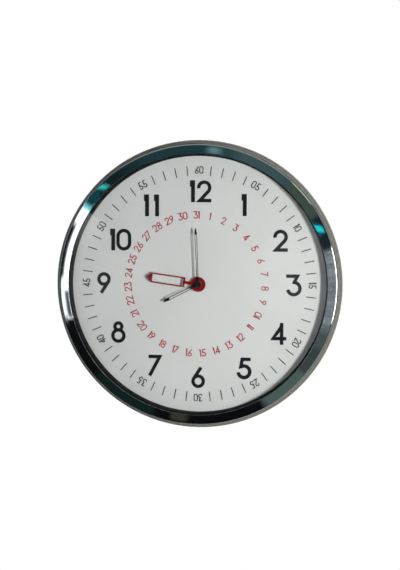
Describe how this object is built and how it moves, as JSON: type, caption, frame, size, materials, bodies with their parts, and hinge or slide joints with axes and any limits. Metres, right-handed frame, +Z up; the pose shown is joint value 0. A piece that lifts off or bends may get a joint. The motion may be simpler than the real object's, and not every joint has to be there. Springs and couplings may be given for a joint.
{
  "type": "wall clock with calendar hand",
  "caption": "Round wall clock with a chromed bezel, printed dial, skeleton hour and minute hands and a red calendar hand on a geared quartz movement.",
  "frame": {"origin": "where the shank of the wall screw crosses the wall plane, at the top end of the keyhole slot", "axes": "+Z up, +Y into the wall along the axis of the hands, so the dial faces -Y, and +X to the right of someone who reads the clock"},
  "size_m": [0.3, 0.041, 0.3],
  "materials": {
    "satin_case": "satin metallic paint",
    "chrome": "mirror-bright plating",
    "glass": "clear",
    "black_trim": "satin",
    "dial": "matt print",
    "black_ink": "matt print",
    "red_ink": "matt print",
    "steel": "bright",
    "black_hand": "satin paint",
    "red_hand": "satin paint",
    "black_plastic": "moulded",
    "rubber": "matt",
    "brass": "bright",
    "natural_plastic": "moulded",
    "magnet": "ground",
    "orange_plastic": "moulded",
    "white_plastic": "moulded",
    "red_plastic": "moulded",
    "copper": "enamelled wire",
    "board": "solder resist",
    "cell_jacket": "printed film"
  },
  "bodies": {
    "root": {"rear_case": "satin_case", "bezel": "chrome", "glass": "glass", "spacer_ring": "black_trim", "dial_plate": "dial", "hour_numerals": "black_ink", "minute_numerals": "black_ink", "minute_ticks": "black_ink", "date_numerals": "red_ink", "case_screws": "steel", "movement_case": "black_plastic", "movement_cover": "black_plastic", "movement_gasket": "rubber", "mounting_washer": "brass", "mounting_nut": "brass", "train_plate": "natural_plastic", "date_jumper": "steel", "stator": "steel", "coil_bobbin": "natural_plastic", "coil_winding": "copper", "circuit_board": "board", "circuit_chip": "black_plastic", "quartz_crystal": "steel", "contact_plus": "brass", "contact_minus": "steel"},
    "minute": {"minute_arbor": "steel", "minute_hand": "black_hand", "hand_nut": "black_hand"},
    "hour": {"hour_wheel": "natural_plastic", "hour_hand": "black_hand"},
    "date": {"date_wheel": "natural_plastic", "date_hand": "red_hand"},
    "motion": {"motion_wheel": "natural_plastic"},
    "day": {"day_wheel": "orange_plastic"},
    "time_setting": {"time_knob": "white_plastic"},
    "date_setting": {"date_knob": "red_plastic"},
    "second": {"second_wheel": "natural_plastic"},
    "third": {"third_wheel": "natural_plastic"},
    "centre": {"centre_wheel": "brass"},
    "step": {"step_wheel": "natural_plastic"},
    "rotor": {"rotor": "magnet"},
    "cell": {"battery": "cell_jacket"}
  },
  "joints": [
    {"name": "minute_turn", "type": "hinge", "parent": "root", "child": "minute", "pos_m": [0, -0.018, -0.112], "axis": [0, 1, 0], "continuous": true},
    {"name": "hour_turn", "type": "hinge", "parent": "root", "child": "hour", "pos_m": [0, -0.018, -0.112], "axis": [0, 1, 0], "continuous": true},
    {"name": "motion_turn", "type": "hinge", "parent": "root", "child": "motion", "pos_m": [0.01182, -0.018, -0.11408], "axis": [0, 1, 0], "continuous": true},
    {"name": "day_turn", "type": "hinge", "parent": "root", "child": "day", "pos_m": [-0.0041, -0.018, -0.10072], "axis": [0, 1, 0], "continuous": true},
    {"name": "time_knob_turn", "type": "hinge", "parent": "root", "child": "time_setting", "pos_m": [0.0203, -0.018, -0.1056], "axis": [0, 1, 0], "continuous": true},
    {"name": "rotor_turn", "type": "hinge", "parent": "root", "child": "rotor", "pos_m": [0.01273, -0.018, -0.09827], "axis": [0, 1, 0], "continuous": true},
    {"name": "step_turn", "type": "hinge", "parent": "root", "child": "step", "pos_m": [0.00484, -0.018, -0.09539], "axis": [0, 1, 0], "continuous": true},
    {"name": "second_turn", "type": "hinge", "parent": "root", "child": "second", "pos_m": [-0.00496, -0.018, -0.09539], "axis": [0, 1, 0], "continuous": true},
    {"name": "third_turn", "type": "hinge", "parent": "root", "child": "third", "pos_m": [-0.01091, -0.018, -0.1057], "axis": [0, 1, 0], "continuous": true},
    {"name": "centre_turn", "type": "hinge", "parent": "root", "child": "centre", "pos_m": [0, -0.018, -0.112], "axis": [0, 1, 0], "continuous": true},
    {"name": "date_turn", "type": "hinge", "parent": "root", "child": "date", "pos_m": [0, -0.018, -0.112], "axis": [0, 1, 0], "continuous": true},
    {"name": "date_knob_turn", "type": "hinge", "parent": "root", "child": "date_setting", "pos_m": [-0.0113, -0.018, -0.11906], "axis": [0, 1, 0], "continuous": true},
    {"name": "cell_slide", "type": "slide", "parent": "root", "child": "cell", "axis": [0, 1, 0], "range_m": [0, 0.02]}
  ],
  "couplings": [
    {"joint": "motion_turn", "follows": "minute_turn", "ratio": -0.33333},
    {"joint": "hour_turn", "follows": "minute_turn", "ratio": 0.083333},
    {"joint": "day_turn", "follows": "minute_turn", "ratio": -0.041667},
    {"joint": "time_knob_turn", "follows": "minute_turn", "ratio": 1},
    {"joint": "step_turn", "follows": "rotor_turn", "ratio": -0.2},
    {"joint": "second_turn", "follows": "rotor_turn", "ratio": 0.033333},
    {"joint": "third_turn", "follows": "rotor_turn", "ratio": -0.0044444},
    {"joint": "centre_turn", "follows": "rotor_turn", "ratio": 0.00055556},
    {"joint": "date_knob_turn", "follows": "date_turn", "ratio": -3.1}
  ]
}
